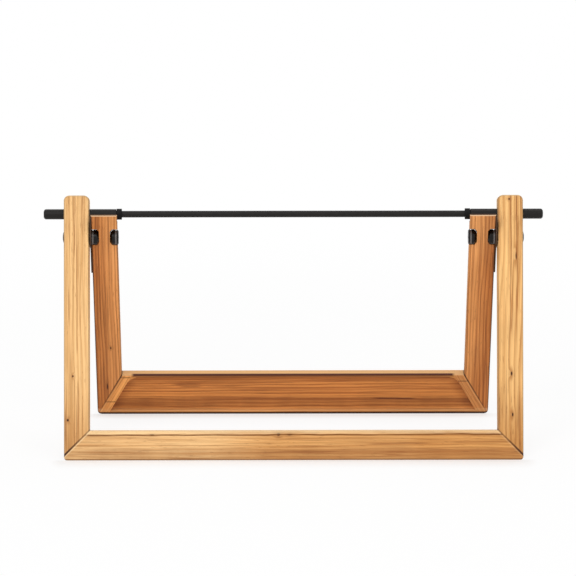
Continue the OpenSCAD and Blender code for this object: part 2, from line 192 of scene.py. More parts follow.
# The rear rail's sunk panel: levels of its top and bottom, height of the lip over it, width of its end
# battens, corner radius and the tint that darkens the sunk part
Panel = namedtuple("Panel", "top bottom lip batten corner stain")
# A butt joint across an end batten: -1 on the left or 1 on the right, and its level
Butt = namedtuple("Butt", "side z")
# Width of a board's rounded edges in millimetres
SOFT_EDGE = 0.35


class Timber(NamedTuple):
    """All that one piece of wood is made from."""
    tones: Tones
    board: Board
    growth: Growth
    fade: Fade = Fade()
    edges: Edges = None
    foot: Foot = None
    # Share of painted highlight along its top
    top_highlight: float = 0.0
    mitre: Mitre = None
    seam: Seam = None
    knots: tuple = ()
    stripes: tuple = ()
    panel: Panel = None
    butts: tuple = ()
    # Share of painted shadow on its top face
    top_shadow: float = 0.0
    soft: float = SOFT_EDGE


# Noise along the grain: a step of its seed, width and length of its features in millimetres, and its detail
Grain = namedtuple("Grain", "step across along detail", defaults=(2.0,))
# A mark that shows where its noise rises from low to high, and the share of its tone
Mark = namedtuple("Mark", "grain low high share")

# The grain's own noises and marks
WIDE_WANDER = Grain(0.0, across=42.0, along=170.0)
FINE_WANDER = Grain(3.1, across=5.0, along=60.0)
FIBRE = Grain(7.7, across=0.8, along=22.0, detail=3.0)
CLOUD = Grain(5.3, across=30.0, along=70.0)
WOBBLE = Grain(6.6, across=60.0, along=30.0)
PATCH = Grain(8.8, across=60.0, along=18.0)
BAND = Mark(Grain(1.9, across=3.0, along=140.0), low=0.45, high=0.70, share=0.65)
STREAK = Mark(Grain(4.2, across=1.0, along=80.0), low=0.59, high=0.70, share=0.6)
TICK = Mark(Grain(2.6, across=0.8, along=32.0), low=0.62, high=0.72, share=0.4)
PORE = Mark(Grain(9.4, across=0.7, along=8.0), low=0.64, high=0.74, share=0.4)
FIBRE_SHADES = (0.77, 1.21)
CLOUD_SHADES = (0.85, 1.15)

# Rings: where the late wood of each starts and is darkest, where it ends, the range of their darkness, how
# many times wider the wide wander is than the fine one, how far a knot pushes them aside, in rings, and the
# middle of a noise's colour
RING_RISE = (0.35, 0.93)
RING_FALL = (1.0, 0.95)
RING_WEIGHTS = (0.2, 1.0)
WIDE_TO_FINE = 8
KNOT_PUSH = 0.45
NOISE_MIDDLE = (0.5, 0.5, 0.5)

# Knots: where the core and the field around it start and are full, in half sizes, and the field's share
KNOT_CORE = (1.3, 0.5)
KNOT_FIELD = (4.5, 0.8)
KNOT_SHADE = 0.35

# Stripes: how far they waver, how much they come and go, and half the length over which they end
STRIPE_WAVER = (-0.9, 0.9)
STRIPE_SHARES = (0.3, 1.5)
STRIPE_TAPER = 5.0

# The sunk panel, in millimetres: the step from the rail's back half to its front half and from its left to
# its right, the panel's outline, the painted shade along its ends and under its top edge, the batten's
# outline, a shift between the grain of the two battens, and the line of a butt joint
FRONT_STEP = (0.0, -1.0)
RIGHT_STEP = (-1.0, 1.0)
PANEL_OUTLINE = (-0.3, 0.5)
END_SHADE = (10.0, 0.5, 0.0, 0.75)
TOP_SHADE = (8.0, 0.0)
BATTEN_OUTLINE = (0.3, -0.3)
BATTEN_SHIFT = 97.0
BUTT_HALF, BUTT_SOFT, BUTT_SHARE = 0.25, 0.35, 0.7

# The lip over the panel: the start of its dark line, its rise in shares of the lip's height, the share that
# each of the two adds, its depth from the front, and its ends at the battens
LIP_START = (-0.3, 0.2)
LIP_RISE = (0.4, 0.9)
LIP_SHARES = (0.0, 0.5)
LIP_DEPTH = (2.9, 1.9)
LIP_ENDS = (-1.0, 2.0)

# Lines along a mitre: distance from it, half width and soft edge in millimetres
PALE_LINE = (-0.9, 0.3, 0.4)
DARK_LINE = (0.2, 0.35, 0.4)

# The foot, in heights of its painted shade: the shade's upper edge, and the painted highlight line's place,
# half width and rim
FOOT_EDGE = (1.25, 0.8)
FOOT_LINE = (2.1, 0.4, 0.7)

# Painted edge shade: the part of its width at its full share, and its soft rim in millimetres
EDGE_FULL = 0.2
EDGE_RIM = 0.8

# Faces: how squarely one looks along the grain to count as an end, and the share of the end tone there, how
# squarely one looks up to count as an upper or a top face, and the painted highlight of an upright below its
# tip
END_FACING = (0.72, 0.95)
END_SHARE = 0.55
UPPER_FACING = (0.35, 0.8)
TOP_FACING = (0.6, 0.9)
HIGHLIGHT_BELOW_TIP = (1.1, 0.6)

# Sheen and relief of the wood
WOOD_ROUGHNESS = (0.42, 0.60)
END_ROUGHER = 0.15
EDGE_SMOOTHER = 0.06
WOOD_SPECULAR = 0.22
WOOD_RELIEF = 0.12 * MM
LATE_RELIEF, FIBRE_RELIEF, PORE_RELIEF = 0.5, 0.6, 0.6

# Tints, shades and marks of the wood
RAIL_TINT = (0.60, 0.38, 0.14, 1.0)
# Painted shade for the sunk panel's recess
PANEL_PAINTED_SHADE = (0.62, 0.52, 0.44, 1.0)
RIGHT_BATTEN_SHADE = (0.66, 0.61, 0.63, 1.0)
# Painted shade on the rear legs' edges and painted shadow on their tops; also the tone of the dark butt
# joints
SHADE_AND_JOINT_BROWN = srgb(62, 38, 22)
LIP_SHADOW = srgb(74, 26, 4)
SEAM_BROWN = srgb(70, 38, 20)


def board_of(node, tilt, upright):
    """The board that a node is cut from."""
    low, high = box_in_frame(node, tilt)
    return Board(tilt, (low + high) / 2, (high - low) / 2, upright)


def half_sizes(board):
    """Half sizes across, through and along the grain."""
    x, y, z = board.half
    return (x, y, z) if board.upright else (z, y, x)


def frame_place(graph, tilt):
    """The place in a leaning frame's own axes, in millimetres from the pivot."""
    inputs = {"Vector": graph.own("Object"), "Location": PIVOT, "Rotation": (tilt, 0.0, 0.0)}
    upright = graph.node("ShaderNodeMapping", inputs, vector_type="TEXTURE").outputs[0]
    return graph.scaled(upright, 1 / MM)


def board_axes(graph, board, place):
    """Places across, through and along the grain in millimetres from the board's middle."""
    x, y, z = graph.split(graph.vector("SUBTRACT", place, board.middle))
    return (x, y, z) if board.upright else (z, y, x)


def mitre_axes(graph, place, mitre):
    """Distances from the mitre, above 0 in the upright piece, and along it from its inner corner."""
    x, _, z = graph.split(place)
    off_x = graph.math("SUBTRACT", graph.math("ABSOLUTE", x), mitre.x)
    off_z = graph.math("SUBTRACT", z, mitre.z)
    away = graph.math("ADD", graph.product(off_x, mitre.normal_x), graph.product(off_z, mitre.normal_z))
    along = graph.math("SUBTRACT", graph.product(off_x, mitre.normal_z), graph.product(off_z, mitre.normal_x))
    return away, along


def inset(graph, from_a, from_b, radius):
    """Distance inside two edges that meet in a rounded corner, up to its radius."""
    past_a = graph.math("MAXIMUM", graph.math("SUBTRACT", radius, from_a), 0.0)
    past_b = graph.math("MAXIMUM", graph.math("SUBTRACT", radius, from_b), 0.0)
    return graph.math("SUBTRACT", radius, graph.length(graph.join(past_a, past_b, 0.0)))


def grain_noise(graph, axes, seed, grain):
    """Noise whose features are stretched along the grain."""
    a, b, c = axes
    shift = seed + grain.step
    stretched = graph.join(graph.math("DIVIDE", a, grain.across), graph.math("DIVIDE", b, grain.across),
                           graph.math("DIVIDE", c, grain.along))
    return graph.noise(graph.vector("ADD", stretched, (shift, -shift, 2 * shift)), grain.detail)


def marked(graph, axes, seed, mark):
    """1 where a mark shows and 0 where it doesn't."""
    return graph.smooth(grain_noise(graph, axes, seed, mark.grain).outputs[0], mark.low, mark.high)


def knot_masks(graph, place, knots):
    """The cores of the knots and the wider field that they disturb."""
    x, _, z = graph.split(place)
    core, field = 0.0, 0.0
    for knot in knots:
        dx = graph.math("DIVIDE", graph.math("SUBTRACT", x, knot.x), knot.half_x)
        dz = graph.math("DIVIDE", graph.math("SUBTRACT", z, knot.z), knot.half_z)
        near = graph.length(graph.join(dx, 0.0, dz))
        core = graph.math("MAXIMUM", core, graph.smooth(near, *KNOT_CORE))
        field = graph.math("MAXIMUM", field, graph.smooth(near, *KNOT_FIELD))
    return core, field


def wandering(graph, axes, seed, grain, reach):
    """A shift to all sides that changes slowly along the grain."""
    colour = grain_noise(graph, axes, seed, grain).outputs["Color"]
    return graph.scaled(graph.vector("SUBTRACT", colour, NOISE_MIDDLE), reach)


def growth_rings(graph, axes, growth, field):
    """Darkness of the late wood, from the distance to the log's wandering middle."""
    a, b, _ = axes
    wander = graph.vector("ADD", wandering(graph, axes, growth.seed, WIDE_WANDER, growth.wander),
                          wandering(graph, axes, growth.seed, FINE_WANDER, growth.wander / WIDE_TO_FINE))
    shift_a, shift_b, _ = graph.split(wander)
    off_a = graph.math("SUBTRACT", graph.math("ADD", a, shift_a), growth.pith[0])
    off_b = graph.math("SUBTRACT", graph.math("ADD", b, shift_b), growth.pith[1])
    radius = graph.length(graph.join(off_a, off_b, 0.0))
    push = graph.math("MULTIPLY", field, KNOT_PUSH)
    count = graph.math("ADD", graph.math("DIVIDE", radius, growth.spacing), push)
    share = graph.math("FRACT", count)
    rise = graph.smooth(share, *RING_RISE)
    fall = graph.smooth(share, *RING_FALL)
    weight = graph.span(graph.chance(graph.math("FLOOR", count)), *RING_WEIGHTS)
    return graph.product(rise, fall, weight, growth.depth)


def darkening(graph, board, axes, fade):
    """Share of the darker tint, from the board's edges and along its length; on the rear legs' outer sides it
    is painted shade.
    """
    a, _, c = axes
    half_a, _, half_c = half_sizes(board)
    share = graph.smooth(a, -half_a, half_a, *fade.across)
    for ramp in fade.along:
        along = graph.smooth(c, ramp.low - half_c, ramp.high - half_c, ramp.start, ramp.end)
        share = graph.math("ADD", share, along)
    return share


def wood_tone(graph, timber, place, axes):
    """Colour of the wood through and through, with painted shade on the rear legs' outer sides, and the
    fields that its sheen and relief follow.
    """
    tones, growth = timber.tones, timber.growth
    core, field = knot_masks(graph, place, timber.knots)
    late = growth_rings(graph, axes, growth, field)
    fibre = grain_noise(graph, axes, growth.seed, FIBRE).outputs[0]
    cloud = grain_noise(graph, axes, growth.seed, CLOUD).outputs[0]
    pore = marked(graph, axes, growth.seed, PORE)

    tone = graph.mix(late, tones.early, tones.late)
    for mark, cover in ((BAND, tones.late), (STREAK, tones.streak), (TICK, tones.streak)):
        tone = graph.covered(tone, marked(graph, axes, growth.seed, mark), mark.share, cover)
    tone = graph.covered(tone, pore, PORE.share, tones.streak)
    tone = graph.shaded(tone, fibre, FIBRE_SHADES)
    tone = graph.shaded(tone, cloud, CLOUD_SHADES)
    # The darker tint; on the rear legs' outer sides it is painted shade
    tone = graph.tinted(tone, darkening(graph, timber.board, axes, timber.fade), timber.fade.tint)
    tone = graph.covered(tone, field, KNOT_SHADE, tones.streak)
    tone = graph.mix(core, tone, tones.knot)
    return tone, late, fibre, pore, core


def striped(graph, timber, axes, tone):
    """Long stripes that waver with the grain and come and go along it."""
    a, _, c = axes
    seed = timber.growth.seed
    wobble = grain_noise(graph, axes, seed, WOBBLE).outputs[0]
    waved = graph.math("ADD", a, graph.span(wobble, *STRIPE_WAVER))
    patchy = graph.span(grain_noise(graph, axes, seed, PATCH).outputs[0], *STRIPE_SHARES)
    for stripe in timber.stripes:
        shown = graph.near(waved, stripe.place, stripe.half, stripe.soft)
        starts = graph.smooth(c, stripe.start - STRIPE_TAPER, stripe.start + STRIPE_TAPER)
        ends = graph.smooth(c, stripe.end + STRIPE_TAPER, stripe.end - STRIPE_TAPER)
        tone = graph.mix(graph.product(shown, starts, ends, patchy, stripe.share), tone, stripe.tone)
    return tone


def from_batten(graph, timber, away):
    """Distance into the sunk panel from its end batten, square to the mitre."""
    return graph.math("SUBTRACT", -timber.panel.batten * timber.mitre.normal_x, away)


def panelled(graph, timber, place, tone):
    """The rear rail's sunk panel, darker all over, with painted shade along its ends and under its top edge,
    and the battens across its two ends.
    """
    panel = timber.panel
    x, y, z = graph.split(place)
    front = graph.smooth(y, *FRONT_STEP)
    away, along = mitre_axes(graph, place, timber.mitre)
    from_end = from_batten(graph, timber, away)
    from_top = graph.math("SUBTRACT", panel.top, z)
    inside = graph.math("MINIMUM", inset(graph, from_end, from_top, panel.corner),
                        graph.math("SUBTRACT", z, panel.bottom))
    sunk = graph.math("MULTIPLY", front, graph.smooth(inside, *PANEL_OUTLINE))
    tone = graph.tinted(tone, sunk, panel.stain)
    # Painted shade in the recess, along the panel's ends and under its top edge
    shade = graph.math("MAXIMUM", graph.smooth(from_end, *END_SHADE), graph.smooth(from_top, *TOP_SHADE))
    tone = graph.tinted(tone, graph.math("MULTIPLY", sunk, shade), PANEL_PAINTED_SHADE)

    shift = graph.math("MULTIPLY", graph.math("SIGN", x), BATTEN_SHIFT)
    grain = (away, y, graph.math("ADD", along, shift))
    plain = timber._replace(tones=BATTEN, fade=Fade())
    batten = graph.math("MULTIPLY", front, graph.smooth(from_end, *BATTEN_OUTLINE))
    batten_tone = wood_tone(graph, plain, place, grain)[0]
    batten_tone = graph.tinted(batten_tone, graph.smooth(x, *RIGHT_STEP), RIGHT_BATTEN_SHADE)
    tone = graph.mix(batten, tone, batten_tone)
    for butt in timber.butts:
        line = graph.near(z, butt.z, BUTT_HALF, BUTT_SOFT)
        shown = graph.product(batten, graph.smooth(x, 0.0, butt.side), line)
        tone = graph.covered(tone, shown, BUTT_SHARE, SHADE_AND_JOINT_BROWN)
    return tone


def lipped(graph, timber, place, tone):
    """The dark line along the front of the lip over the sunk panel."""
    panel = timber.panel
    half_b = half_sizes(timber.board)[1]
    _, y, z = graph.split(place)
    from_end = from_batten(graph, timber, mitre_axes(graph, place, timber.mitre)[0])
    over = graph.math("SUBTRACT", z, panel.top)
    rise_low, rise_high = (part * panel.lip for part in LIP_RISE)
    share = graph.math("ADD", graph.smooth(over, *LIP_START, *LIP_SHARES),
                       graph.smooth(over, rise_low, rise_high, *LIP_SHARES))
    forward = graph.smooth(y, *(depth - half_b for depth in LIP_DEPTH))
    return graph.mix(graph.product(forward, share, graph.smooth(from_end, *LIP_ENDS)), tone, LIP_SHADOW)


def mitred(graph, timber, place, tone):
    """The dark line of the mitre and the pale painted highlight beside it."""
    mitre, seam = timber.mitre, timber.seam
    away, along = mitre_axes(graph, place, mitre)
    pale = graph.smooth(graph.split(place)[0], *RIGHT_STEP, seam.pale_left, seam.pale_right)
    tone = graph.covered(tone, graph.near(away, *PALE_LINE), pale, timber.tones.bare)
    narrowed = graph.math("DIVIDE", away, graph.smooth(along, 0.0, mitre.length, 1.0, seam.widen))
    share = graph.smooth(along, 0.0, mitre.length, seam.inner, seam.outer)
    return graph.covered(tone, graph.near(narrowed, *DARK_LINE), share, SEAM_BROWN)


def footed(graph, timber, tone):
    """The painted shade along the foot and the painted highlight line over it."""
    foot = timber.foot
    level = graph.split(graph.own("Object"))[2]
    height = graph.math("DIVIDE", level, foot.height * MM)
    tone = graph.covered(tone, graph.near(height, *FOOT_LINE), foot.pale, timber.tones.bare)
    return graph.covered(tone, graph.smooth(height, *FOOT_EDGE), foot.share, foot.tone)


def edge_mask(graph, timber, place, axes):
    """Share of the painted edge shade along the board's rounded long edges and round its top."""
    board, edges = timber.board, timber.edges
    a, b, c = axes
    half_a, half_b, half_c = half_sizes(board)
    from_side = graph.math("SUBTRACT", half_a, graph.math("ABSOLUTE", a))
    outward = a
    if board.upright:
        from_side = inset(graph, from_side, graph.math("SUBTRACT", half_c, c), edges.corner)
        outward = graph.math("SUBTRACT", graph.math("ABSOLUTE", graph.split(place)[0]), abs(board.middle.x))
    share = graph.smooth(outward, -half_a, half_a, edges.low, edges.high)
    rim = graph.smooth(graph.math("ABSOLUTE", b), half_b - edges.depth - EDGE_RIM, half_b - edges.depth)
    return graph.product(graph.smooth(from_side, edges.width, EDGE_FULL * edges.width), share, rim)


def wood(name, timber):
    """Oiled softwood: rings, fibres, streaks, pores, knots, marks, end grain, painted shade along edges and
    feet, painted highlights, sheen and relief.
    """
    graph = Graph(name)
    tones, board = timber.tones, timber.board
    place = frame_place(graph, board.tilt)
    axes = board_axes(graph, board, place)
    tone, late, fibre, pore, core = wood_tone(graph, timber, place, axes)
    tone = striped(graph, timber, axes, tone)
    if timber.panel:
        tone = panelled(graph, timber, place, tone)

    normal = graph.own("Normal")
    up = Vector((0, -math.sin(board.tilt), math.cos(board.tilt)))
    along = up if board.upright else Vector((1, 0, 0))
    end = graph.smooth(graph.math("ABSOLUTE", graph.dot(normal, along)), *END_FACING)
    tone = graph.covered(tone, end, END_SHARE, tones.end)
    rough = graph.math("ADD", graph.span(fibre, *WOOD_ROUGHNESS), graph.math("MULTIPLY", end, END_ROUGHER))
    if timber.edges:
        edge = edge_mask(graph, timber, place, axes)
        # Painted shade along the rounded edges
        tone = graph.mix(edge, tone, timber.edges.tone)
        rough = graph.math("SUBTRACT", rough, graph.math("MULTIPLY", edge, EDGE_SMOOTHER))
    upper = graph.smooth(graph.dot(normal, up), *UPPER_FACING)
    if board.upright:
        half_c = half_sizes(board)[2]
        upper = graph.smooth(axes[2], *(half_c - below for below in HIGHLIGHT_BELOW_TIP))
    # Painted highlight on the upper faces and along the tops of uprights
    tone = graph.covered(tone, upper, timber.top_highlight, tones.bare)
    if timber.panel:
        tone = lipped(graph, timber, place, tone)
    # Painted shadow on the top faces of the legs, under the rod
    tone = graph.covered(tone, graph.smooth(graph.dot(normal, up), *TOP_FACING), timber.top_shadow, SHADE_AND_JOINT_BROWN)
    if timber.seam:
        tone = mitred(graph, timber, place, tone)
    if timber.foot:
        tone = footed(graph, timber, tone)

    raised = graph.math("ADD", graph.math("MULTIPLY", late, LATE_RELIEF),
                        graph.math("MULTIPLY", fibre, FIBRE_RELIEF))
    sunken = graph.math("ADD", graph.math("MULTIPLY", pore, PORE_RELIEF), core)
    relief = graph.bump(graph.math("SUBTRACT", raised, sunken), WOOD_RELIEF)
    return graph.finish(Base_Color=tone, Roughness=rough, Normal=relief, Specular_IOR_Level=WOOD_SPECULAR)


# A hard surface: colour and rubbed tone, roughness, grain size and relief in millimetres, and specular level
Finish = namedtuple("Finish", "colour worn rough grain relief specular")
# A noise all through a hard surface: its scale per millimetre, detail and roughness
Speckle = namedtuple("Speckle", "scale detail roughness", defaults=(0.5,))
MOTTLE = Speckle(0.25, detail=3.0)
SCUFF = Speckle(0.9, detail=4.0, roughness=0.7)
FINE_DETAIL = 2.0
MOTTLE_SHADES = (0.85, 1.15)
# Rubbed edges: the sharpness and the scuffs at which they start and are full, and their share
RUBBED_EDGE = (0.53, 0.62)
RUBBED_SCUFF = (0.45, 0.65)
RUBBED_SHARE = 0.5
# The painted highlight ring in a hub's groove: tone, half width and soft edge in millimetres, and the range
# of its share
RING_HIGHLIGHT_GREY = srgb(128, 122, 118)
RING_HALF, RING_SOFT = 0.4, 0.4
RING_SHARES = (0.4, 1.2)
# How far the mottle and the fine grain change the roughness
MOTTLE_ROUGH = 0.06
FINE_ROUGH = 0.03


def speckled(name, finish, ring_x=None):
    """A painted, moulded or rubber surface: mottled tone, fine grain, rubbed edges and a painted highlight
    ring in a groove.
    """
    graph = Graph(name)
    place = graph.scaled(graph.own("Object"), 1 / MM)
    mottle = graph.noise(graph.scaled(place, MOTTLE.scale), MOTTLE.detail, MOTTLE.roughness).outputs[0]
    fine = graph.noise(graph.scaled(place, 1 / finish.grain), FINE_DETAIL).outputs[0]
    scuff = graph.noise(graph.scaled(place, SCUFF.scale), SCUFF.detail, SCUFF.roughness).outputs[0]
    edge = graph.smooth(graph.node("ShaderNodeNewGeometry", {}).outputs["Pointiness"], *RUBBED_EDGE)
    rubbed = graph.math("MULTIPLY", edge, graph.smooth(scuff, *RUBBED_SCUFF))
    tone = graph.shaded(finish.colour, mottle, MOTTLE_SHADES)
    tone = graph.covered(tone, rubbed, RUBBED_SHARE, finish.worn)
    if ring_x:
        out = graph.math("ABSOLUTE", graph.split(place)[0])
        ring = graph.near(out, ring_x, RING_HALF, RING_SOFT)
        tone = graph.covered(tone, ring, graph.span(scuff, *RING_SHARES), RING_HIGHLIGHT_GREY)
    broad = graph.span(mottle, finish.rough - MOTTLE_ROUGH, finish.rough + MOTTLE_ROUGH)
    roughness = graph.math("ADD", broad, graph.span(fine, -FINE_ROUGH, FINE_ROUGH))
    return graph.finish(Base_Color=tone, Roughness=roughness, Normal=graph.bump(fine, finish.relief * MM),
                        Specular_IOR_Level=finish.specular)


def dress(node, material):
    """Gives a node one material all over."""
    data = frame["nodes"][node].data
    data.materials.clear()
    data.materials.append(material)


# Soft edges: the gap that is welded in millimetres, the bend that counts as flat, the bend that is rounded,
# and the steps of the rounding
WELD_GAP = 0.002
FLAT_BEND = math.radians(0.5)
SHARP_BEND = math.radians(32)
SOFT_STEPS = 2


def soften(node, width):
    """Rounds the node's crisp edges a little, as sanding or tumbling does."""
    piece = frame["nodes"][node]
    weld = piece.modifiers.new("weld", "WELD")
    weld.merge_threshold = WELD_GAP * MM
    flat = piece.modifiers.new("flat faces", "DECIMATE")
    flat.decimate_type = "DISSOLVE"
    flat.angle_limit = FLAT_BEND
    bevel = piece.modifiers.new("soft edges", "BEVEL")
    bevel.width = width * MM
    bevel.segments = SOFT_STEPS
    bevel.limit_method = "ANGLE"
    bevel.angle_limit = SHARP_BEND
    normals = piece.modifiers.new("clean shading", "WEIGHTED_NORMAL")
    normals.keep_sharp = False


def mitre_of(upright, rail, tilt, foot):
    """The mitre from the inner corner of an upright piece and its rail to the outer corner at the foot."""
    low, high = box_in_frame(upright, tilt)
    top = box_in_frame(rail, tilt)[1].z
    rise, run = top - foot, high.x - low.x
    length = math.hypot(rise, run)
    return Mitre(x=low.x, z=top, normal_x=rise / length, normal_z=run / length, length=length)


# Mitres of the two frames
front_rail_top = box_in_frame("front_rail", FRONT_TILT)[1].z
post_low, post_high = box_in_frame("front_right_post", FRONT_TILT)
leg_low, leg_high = box_in_frame("rear_right_leg", REAR_TILT)
post_foot = front_rail_top - (post_high.x - post_low.x)
FRONT_MITRE = mitre_of("front_right_post", "front_rail", FRONT_TILT, post_foot)
REAR_MITRE = mitre_of("rear_right_leg", "rear_rail", REAR_TILT, -LEG_LENGTH)
FRONT_SEAM = Seam(inner=0.5, outer=1.0, widen=1.4, pale_left=0.45, pale_right=0.12)
REAR_SEAM = Seam(inner=0.9, outer=0.35, widen=1.0, pale_left=0.15, pale_right=0.15)

# The sunk panel, in millimetres from the rail's top edge, from its foot and from the mitre
PANEL_TOP, PANEL_BOTTOM, PANEL_END, PANEL_CORNER = 1.8, 3.0, 8.0, 5.5
rear_front_foot = -LEG_LENGTH + leg_high.y * math.tan(LEAN)
REAR_PANEL = Panel(top=REAR_MITRE.z - PANEL_TOP, bottom=rear_front_foot + PANEL_BOTTOM, lip=PANEL_TOP,
                   batten=PANEL_END, corner=PANEL_CORNER, stain=srgb(243, 232, 221))
BUTTS = (Butt(side=-1, z=-134.7), Butt(side=-1, z=-159.0), Butt(side=1, z=-138.6))

# Tones of the wood
KNOT_BROWN = srgb(64, 32, 14)
PALE_HONEY = Tones(early=srgb(252, 204, 141), late=srgb(208, 152, 90), streak=srgb(166, 106, 56),
                   knot=KNOT_BROWN, end=srgb(200, 146, 90), bare=srgb(255, 222, 172))
HONEY = PALE_HONEY._replace(early=srgb(252, 200, 131), late=srgb(202, 140, 76), streak=srgb(152, 90, 42))
HONEY_RAIL = HONEY._replace(early=srgb(255, 208, 146), late=srgb(208, 150, 90), streak=srgb(146, 90, 44))
AMBER = Tones(early=srgb(238, 166, 99), late=srgb(166, 100, 50), streak=srgb(118, 64, 30),
              knot=KNOT_BROWN, end=srgb(160, 100, 56), bare=srgb(250, 208, 164))
AMBER_RAIL = AMBER._replace(early=srgb(232, 159, 87), late=srgb(166, 98, 46), bare=srgb(224, 178, 124))
BATTEN = AMBER._replace(early=srgb(255, 182, 104), late=srgb(206, 131, 68), streak=srgb(130, 74, 36))
BARE = PALE_HONEY._replace(early=srgb(222, 178, 122), late=srgb(184, 134, 82), streak=srgb(140, 92, 48))

# Painted shade along the rounded edges and the feet
EDGE_SHADE_HONEY = srgb(146, 118, 84)
POST_EDGES = Edges(EDGE_SHADE_HONEY, width=1.4, depth=2.2, corner=4.5, low=0.6, high=0.4)
LEG_EDGES = Edges(SHADE_AND_JOINT_BROWN, width=1.3, depth=1.2, corner=1.5, low=0.4, high=0.85)
FRONT_RAIL_EDGES = Edges(EDGE_SHADE_HONEY, width=1.0, depth=1.6, corner=1.0, low=0.0, high=0.3)
FRONT_FOOT = Foot(srgb(126, 88, 54), height=1.0, share=0.75, pale=0.0)
REAR_FOOT = Foot(srgb(36, 18, 8), height=1.8, share=0.95, pale=0.25)

# Boards
LEFT_POST = board_of("front_left_post", FRONT_TILT, upright=True)
RIGHT_POST = board_of("front_right_post", FRONT_TILT, upright=True)
FRONT_RAIL = board_of("front_rail", FRONT_TILT, upright=False)
LEFT_LEG = board_of("rear_left_leg", REAR_TILT, upright=True)
RIGHT_LEG = board_of("rear_right_leg", REAR_TILT, upright=True)
REAR_RAIL = board_of("rear_rail", REAR_TILT, upright=False)

# Knots
LEFT_POST_KNOTS = (Knot(x=-172.9, z=-108.9, half_x=0.7, half_z=0.9),
                   Knot(x=-176.9, z=-143.3, half_x=0.9, half_z=1.1))
RIGHT_POST_KNOTS = (Knot(x=169.1, z=29.5, half_x=0.7, half_z=0.8),
                    Knot(x=174.6, z=-15.0, half_x=0.6, half_z=3.2),
                    Knot(x=170.7, z=-107.3, half_x=0.8, half_z=1.7),
                    Knot(x=171.5, z=-139.4, half_x=0.7, half_z=1.6))
FRONT_RAIL_KNOTS = (Knot(x=-12.0, z=-154.7, half_x=1.4, half_z=1.3),
                    Knot(x=-3.2, z=-155.0, half_x=2.6, half_z=0.5),
                    Knot(x=-111.0, z=-154.9, half_x=2.2, half_z=0.5))
LEFT_LEG_KNOTS = (Knot(x=-146.2, z=-105.0, half_x=0.7, half_z=0.9),
                  Knot(x=-149.8, z=-143.5, half_x=0.5, half_z=3.4))

# The front rail's painted highlight along its top edge, dark grain line under it, painted shade over its
# lower third and two short double lines
rail_half = half_sizes(FRONT_RAIL)[0]
RAIL_STRIPES = (
    Stripe(place=rail_half - 1.2, half=1.2, soft=0.8, tone=HONEY.bare, share=0.45),
    Stripe(place=rail_half - 3.5, half=0.35, soft=0.5, tone=srgb(122, 72, 30), share=0.9),
    Stripe(place=2.6 - rail_half, half=5.0, soft=3.0, tone=srgb(150, 94, 50), share=0.45),
    Stripe(place=7.0 - rail_half, half=0.25, soft=0.4, tone=HONEY.streak, share=0.5, start=-8, end=32),
    Stripe(place=5.6 - rail_half, half=0.25, soft=0.4, tone=HONEY.streak, share=0.4, start=-4, end=28),
    Stripe(place=6.2 - rail_half, half=0.3, soft=0.5, tone=HONEY.streak, share=0.7, start=68, end=88),
    Stripe(place=3.9 - rail_half, half=0.35, soft=0.5, tone=HONEY.streak, share=0.7, start=70, end=84))

# Long dark grain lines of the posts
LEFT_POST_STRIPES = (
    Stripe(place=-1.8, half=0.25, soft=0.5, tone=PALE_HONEY.streak, share=0.55, start=55, end=110),
    Stripe(place=0.3, half=0.3, soft=0.5, tone=PALE_HONEY.streak, share=0.55, start=-20, end=62),
    Stripe(place=1.2, half=0.3, soft=0.6, tone=PALE_HONEY.streak, share=0.6, start=-95, end=-45))
RIGHT_POST_STRIPES = (
    Stripe(place=4.8, half=0.25, soft=0.5, tone=HONEY.streak, share=0.85, start=54, end=110),
    Stripe(place=5.6, half=0.25, soft=0.5, tone=HONEY.streak, share=0.7, start=12, end=50),
    Stripe(place=0.4, half=0.3, soft=0.5, tone=HONEY.streak, share=0.65, start=-5, end=110))

# The darker grain along the panel's lower part, a dark line on its right and a short double line on its left
PANEL_BROWN = srgb(110, 60, 28)
PANEL_DARK = srgb(84, 36, 14)
rear_level = REAR_RAIL.middle.z
PANEL_STRIPES = (
    Stripe(place=-160.1 - rear_level, half=3.5, soft=3.5, tone=PANEL_BROWN, share=0.42),
    Stripe(place=-156.8 - rear_level, half=0.35, soft=0.6, tone=PANEL_DARK, share=0.85, start=66, end=98),
    Stripe(place=-142.2 - rear_level, half=0.5, soft=0.9, tone=PANEL_BROWN, share=0.6, start=-96, end=-76),
    Stripe(place=-144.7 - rear_level, half=0.4, soft=0.7, tone=PANEL_BROWN, share=0.6, start=-90, end=-75))
